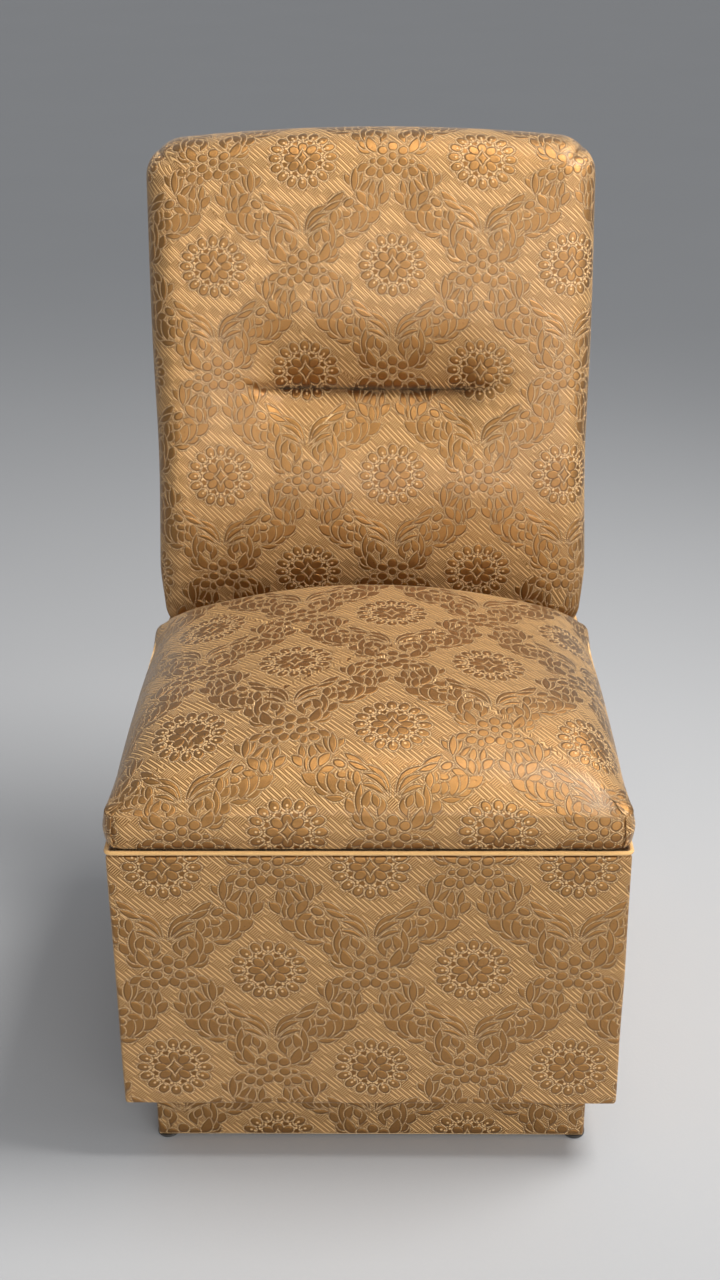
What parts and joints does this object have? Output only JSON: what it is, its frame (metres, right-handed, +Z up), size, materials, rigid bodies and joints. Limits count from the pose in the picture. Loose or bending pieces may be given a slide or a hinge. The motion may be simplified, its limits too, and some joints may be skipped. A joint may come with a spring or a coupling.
{
  "type": "upholstered bedroom chair",
  "caption": "Armless upholstered bedroom chair: straight fabric box on a recessed plinth, domed seat hinged as the lid of a storage box, and a reclined padded back with a stitched pull-in.",
  "frame": {"origin": "on the floor, in the middle of the chair's overall width and depth", "axes": "+Z up, the seat's front faces -Y, +X to the right of someone facing the chair"},
  "size_m": [0.535, 0.6928, 0.9935],
  "materials": {
    "damask": "woven gold damask, satin figure on a matte ribbed ground",
    "lining_cloth": "plain calico lining",
    "foam": "open-cell upholstery foam",
    "jute": "coarse woven jute",
    "card": "plain card",
    "felt": "dense felt",
    "glide_plastic": "dark moulded nylon",
    "zinc_steel": "zinc plated",
    "hinge_brass": "brass plated, slightly dulled",
    "plywood": "unfinished plywood",
    "chipboard": "unfinished particle board",
    "softwood": "planed softwood"
  },
  "bodies": {
    "base": {"back_bottom_rail": "softwood", "back_foam": "foam", "back_hessian": "jute", "back_middle_rail": "softwood", "back_pleat_stay": "jute", "back_rail_dowels": "softwood", "back_stile_left": "softwood", "back_stile_right": "softwood", "back_top_rail": "softwood", "back_webbing_cross": "jute", "back_webbing_upright": "jute", "box_corner_posts": "softwood", "box_cover": "damask", "box_floor_panel": "plywood", "box_front_panel": "chipboard", "box_left_panel": "chipboard", "box_lining": "lining_cloth", "box_panel_screws": "zinc_steel", "box_rear_panel": "chipboard", "box_right_panel": "chipboard", "box_top_welt": "damask", "floor_glides": "glide_plastic", "hinge_fixed_leaves": "hinge_brass", "hinge_pins": "hinge_brass", "hinge_rail": "softwood", "hinge_rail_cover": "damask", "hinge_rail_leaf_screws": "zinc_steel", "hinge_rail_screws": "zinc_steel", "inside_back_cover": "damask", "outside_back_panel": "damask", "outside_back_tack_strip": "card", "plinth_corner_blocks": "softwood", "plinth_cover": "damask", "plinth_front_rail": "softwood", "plinth_left_rail": "softwood", "plinth_rear_rail": "softwood", "plinth_right_rail": "softwood", "plinth_screws": "zinc_steel", "rear_deck_board": "softwood", "rear_deck_cover": "damask", "stile_bolts": "zinc_steel", "stile_nuts": "zinc_steel", "stile_washers": "zinc_steel"},
    "seat_lid": {"seat_cover": "damask", "lid_front_rail": "softwood", "lid_rear_rail": "softwood", "lid_right_rail": "softwood", "lid_left_rail": "softwood", "lid_board": "plywood", "seat_foam": "foam", "lid_under_lining": "lining_cloth", "hinge_moving_leaves": "hinge_brass", "hinge_lid_leaf_screws": "zinc_steel", "lid_lining_staples": "zinc_steel", "lid_resting_pads": "felt"}
  },
  "joints": [
    {"name": "seat_lid_hinge", "type": "hinge", "parent": "base", "child": "seat_lid", "pos_m": [0, 0.11808, 0.437], "axis": [-1, 0, 0], "range_deg": [0, 78]}
  ]
}
